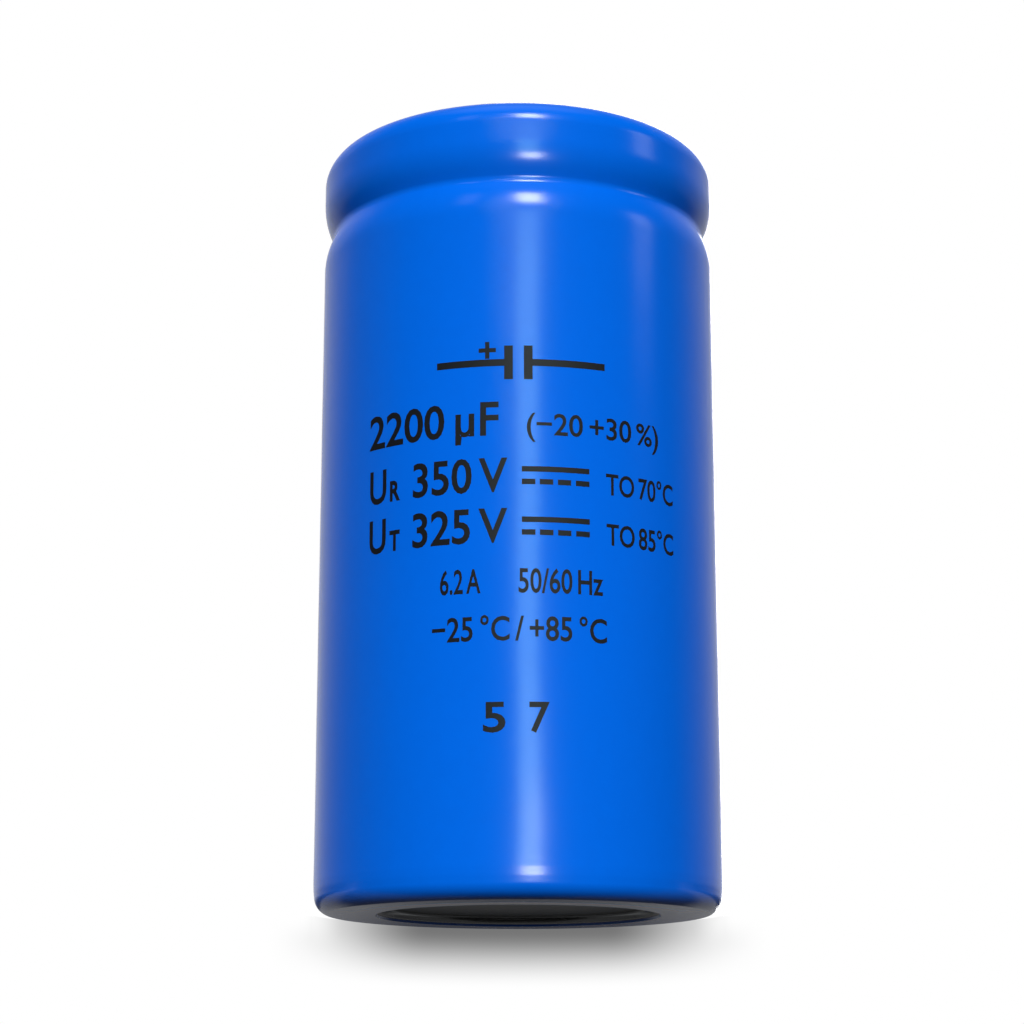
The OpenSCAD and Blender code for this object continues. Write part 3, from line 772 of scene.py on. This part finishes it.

# %% [markdown]
# A white card hangs down round the far half of the base and carries a painted soft shadow. A real
# shadow would need the table itself, which would hide the can from its other sides. So the card glows, and
# its own light falls off smoothly with height and with the distance from the middle: that is the painted
# shade. Gloss sees the card dimmer. Its rim above z = 0, which closes the gap behind the base corner, can't
# be seen edge-on.

# %%
# Stage: the card

CARD_R, CARD_LOW, CARD_HIGH, CARD_HALF, CARD_STEPS, UNDER_FLOOR = 0.0388, -0.12, 0.001, 0.16, 96, 1e-5
SHADE, SHADE_LOW, SHADE_IN, SHADE_OUT = 0.82, -0.0118, 0.018, 0.048
BESIDE_IN, BESIDE_OUT, BESIDE_LOW = 0.034, 0.041, -0.006
MIRRORED_LOW, MIRRORED_DARK, MIRRORED_LIGHT, EDGE_IN, EDGE_ON = -0.014, 0.05, 0.36, 0.8, 0.87
card_material, tree = new_tree("stage_card")
place = add(tree, "SeparateXYZ", {0: add(tree, "TexCoord").outputs["Object"]})
height, side = place.outputs["Z"], add(tree, "Math", {0: place.outputs["X"]}, operation="ABSOLUTE")

# The painted shadow: full at the top and in the middle, none below or far out, and taken off again beside the
# base
upper = add(tree, "MapRange", {0: height, 1: SHADE_LOW, 2: 0.0}, interpolation_type="SMOOTHSTEP")
inner = add(tree, "MapRange", {0: side, 1: SHADE_IN, 2: SHADE_OUT, 3: 1.0, 4: 0.0},
            interpolation_type="SMOOTHSTEP")
outer = add(tree, "MapRange", {0: side, 1: BESIDE_IN, 2: BESIDE_OUT}, interpolation_type="SMOOTHSTEP")
close = add(tree, "MapRange", {0: height, 1: BESIDE_LOW, 2: 0.0}, interpolation_type="SMOOTHSTEP")
beside = add(tree, "Math", {0: outer, 1: close}, operation="MULTIPLY")
elsewhere = add(tree, "Math", {0: 1.0, 1: beside}, operation="SUBTRACT")
shade = add(tree, "Math", {0: upper, 1: inner}, operation="MULTIPLY")
shade = add(tree, "Math", {0: shade, 1: elsewhere}, operation="MULTIPLY")
level = add(tree, "Math", {0: shade, 1: -SHADE, 2: 1.0}, operation="MULTIPLY_ADD")

# Gloss sees it dimmer, and its rim is left out where it is seen edge-on
dim = add(tree, "MapRange",
          {0: height, 1: MIRRORED_LOW, 2: MIRRORED_LOW / 2, 3: MIRRORED_DARK, 4: MIRRORED_LIGHT})
mirrored = add(tree, "Mix", {0: add(tree, "LightPath").outputs["Is Glossy Ray"], 2: 1.0, 3: dim})
level = add(tree, "Math", {0: level, 1: mirrored}, operation="MULTIPLY")
# The card glows at this level, which paints the shadow; it is no lamp
glow = add(tree, "Emission", {0: (1, 1, 1, 1), 1: level})
facing = add(tree, "LayerWeight", {"Blend": 0.5}).outputs["Facing"]
edge_on = add(tree, "MapRange", {0: facing, 1: EDGE_IN, 2: EDGE_ON}, interpolation_type="SMOOTHSTEP")
rim = add(tree, "Math", {0: height, 1: 0.0}, operation="GREATER_THAN")
hidden = add(tree, "Math", {0: edge_on, 1: rim}, operation="MULTIPLY")
one_sided(tree, glow, add(tree, "Math", {0: 1.0, 1: hidden}, operation="SUBTRACT"))

t = np.linspace(-np.pi / 2, np.pi / 2, CARD_STEPS + 1)
path_x = np.concatenate([[-CARD_HALF], CARD_R * np.sin(t), [CARD_HALF]])
path_y = np.concatenate([[0.0], CARD_R * np.cos(t), [0.0]])
top = np.concatenate([[0.0], CARD_HIGH * np.sqrt(np.abs(np.cos(t))), [0.0]]) - UNDER_FLOOR
card_points = np.stack([np.stack([path_x, path_y, z], axis=1) for z in (np.full_like(top, CARD_LOW), top)])
count = len(top)
i = np.arange(count - 1)
card_faces = np.stack([i, i + 1, i + count + 1, i + count], axis=1)
stage_piece("stage_card", card_points, card_faces, card_material)
print("card faces:", len(card_faces))

# %% [markdown]
# The lights. One soft sun from the front, 33 degrees up, gives the front a level of 1, at which a colour
# renders as it is written. A faint one lights the left side and two weaker ones the back, for the other
# views. Suns are left out of the reflections, because the gloss on the sleeve shows windows. A low and a
# high one draw the bright spots where groove, shoulders and base corner turn, two dim ones between them
# draw the long streak, and the rest draw the pale lines at the sides and the streak on the back. One lamp
# could do both jobs, but apart each can be set to what the photograph shows.


# %%
# The lights

def direction(azimuth, elevation):
    """Unit vector towards a light. Azimuth 0 is the front, -y, and grows to the right, +x, in degrees."""
    a, e = math.radians(azimuth), math.radians(elevation)
    return Vector((math.sin(a) * math.cos(e), -math.cos(a) * math.cos(e), math.sin(e)))


MIDDLE, FAR = Vector((0, 0, 0.07)), 1.5


def add_light(name, kind, azimuth, elevation, **settings):
    """A lamp that shines at the middle of the can."""
    light = bpy.data.lights.new(name, kind)
    for key, value in settings.items():
        setattr(light, key, value)
    obj = bpy.data.objects.new(name, light)
    towards = direction(azimuth, elevation)
    obj.location = MIDDLE + FAR * towards
    obj.rotation_euler = towards.to_track_quat("Z", "Y").to_euler()
    bpy.context.scene.collection.objects.link(obj)
    return obj


def add_sun(name, azimuth, elevation, level, spread=35.0):
    """A soft sun that only lights matt surfaces. level is what it adds to a white surface that faces it."""
    sun = add_light(name, "SUN", azimuth, elevation, energy=level * math.pi, angle=math.radians(spread))
    sun.visible_glossy = False


def add_window(name, azimuth, elevation, half_width, half_height, radiance, colour):
    """A rectangular lamp that shows only in gloss. Its power is 4 * area * radiance."""
    w = 2 * FAR * math.tan(math.radians(half_width))
    h = 2 * FAR * math.tan(math.radians(half_height))
    lamp = add_light(name, "AREA", azimuth, elevation, shape="RECTANGLE", size=w, size_y=h,
                     energy=4 * w * h * radiance, color=colour)
    lamp.visible_diffuse = False


# Suns: name, azimuth, elevation, level
for sun in (("key", 2, 33, 1.2), ("side_left", -100, 20, 0.05),
            ("back_left", -145, 30, 0.62), ("back_right", 145, 30, 0.62)):
    add_sun(*sun)

# Windows: name, azimuth, elevation, half width and half height in degrees, radiance, colour
WHITE, SKY = (1.0, 1.0, 1.0), (0.5, 1.0, 0.88)
for window in (("window_low", 7.5, -3, 5.5, 3.5, 18.0, WHITE), ("window_high", 7.5, 45, 5.5, 8, 15.0, WHITE),
               ("window_strip", 5.5, 5.5, 5.5, 4.5, 3.4, SKY),
               ("window_upper_strip", 5.5, 16.5, 5.5, 6.5, 2.9, SKY),
               ("window_side", 78, 28, 6, 7, 1.1, WHITE), ("window_left", -33, 45, 4, 8, 0.6, WHITE),
               ("window_back", 172, 15, 8, 25, 3.0, WHITE)):
    add_window(*window)
print("lamps:", len(bpy.data.lights))

# %% [markdown]
# The world. The camera sees plain white. Gloss sees white only behind the can, dimmer below the horizon,
# and straight above it, so that the front mirrors the windows alone. Matt surfaces get a faint light from
# all round.

# %%
# The world

# Each is (start, stop, level before, level after), by how far up a direction points
BEHIND, ABOVE_CAN, ALL_ROUND = (-0.02, 0.06, 0.08, 0.75), (0.9, 1.0, 0.0, 0.5), (-0.05, 0.05, 0.03, 0.07)
world = bpy.data.worlds.new("studio")
bpy.context.scene.world = world
world.use_nodes = True
tree = world.node_tree
tree.nodes.clear()
axes = add(tree, "SeparateXYZ", {0: add(tree, "TexCoord").outputs["Generated"]})
behind, above, soft = (add(tree, "MapRange", {0: axes.outputs["Z"], **dict(enumerate(levels, 1))})
                       for levels in (BEHIND, ABOVE_CAN, ALL_ROUND))
back = add(tree, "Math", {0: axes.outputs["Y"], 1: 0.0}, operation="MAXIMUM")
back = add(tree, "Math", {0: back, 1: 2.0}, operation="POWER")
behind = add(tree, "Math", {0: back, 1: behind}, operation="MULTIPLY")
mirrored = add(tree, "Math", {0: behind, 1: above}, operation="MAXIMUM")
path = add(tree, "LightPath")
gloss = add(tree, "Math", {0: path.outputs["Is Glossy Ray"], 1: path.outputs["Is Transmission Ray"]},
            operation="MAXIMUM")
level = add(tree, "Mix", {0: gloss, 2: soft, 3: mirrored})
level = add(tree, "Mix", {0: path.outputs["Is Camera Ray"], 2: level, 3: 1.0})
background = add(tree, "Background", {"Color": (1, 1, 1, 1), "Strength": level})
add(tree, "OutputWorld", {0: background})
print("world nodes:", len(tree.nodes))

# %% [markdown]
# The camera was found by a least-squares fit of the can's outlines and its two base ellipses in the
# photograph: a long lens, 0.46 m in front of the axis and 36 mm below the base, looking up by 13.8 degrees.

# %%
# The camera

CAMERA_PLACE, CAMERA_TILT, LENS, SENSOR = (-0.00116, -0.4649, -0.0356), 13.76, 86.02, 36.0
camera_data = bpy.data.cameras.new("camera")
camera_data.lens, camera_data.sensor_width, camera_data.clip_start = LENS, SENSOR, 0.01
camera = bpy.data.objects.new("camera", camera_data)
camera.location = CAMERA_PLACE
camera.rotation_euler = (math.radians(90 + CAMERA_TILT), 0, 0)
bpy.context.scene.collection.objects.link(camera)
bpy.context.scene.camera = camera
bpy.context.scene.view_settings.view_transform = "Standard"
